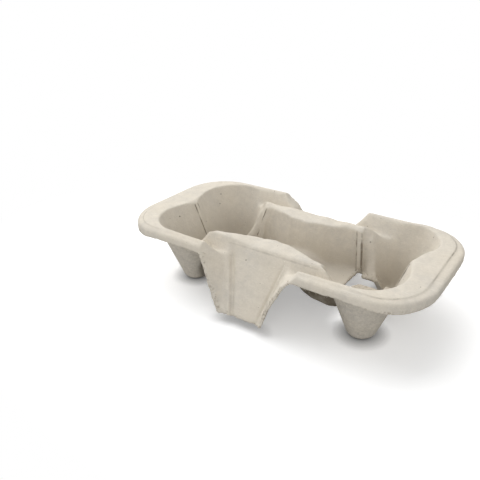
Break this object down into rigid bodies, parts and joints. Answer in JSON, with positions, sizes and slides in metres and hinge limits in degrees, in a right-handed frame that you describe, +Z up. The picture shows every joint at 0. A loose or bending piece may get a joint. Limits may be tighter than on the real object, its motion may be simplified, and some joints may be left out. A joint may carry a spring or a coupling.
{
  "type": "cup carrier",
  "caption": "Moulded pulp carrier for a pair of paper cups, with wells, gripping ribs, cut-away sides and hollow feet.",
  "frame": {"origin": "on the floor, under the middle of the carrier", "axes": "+X along the row of cups, +Y across it, +Z up"},
  "size_m": [0.2132, 0.1174, 0.0433],
  "materials": {
    "pulp": "matt moulded paper pulp"
  },
  "bodies": {
    "root": {"cup_carrier": "pulp"}
  },
  "joints": []
}
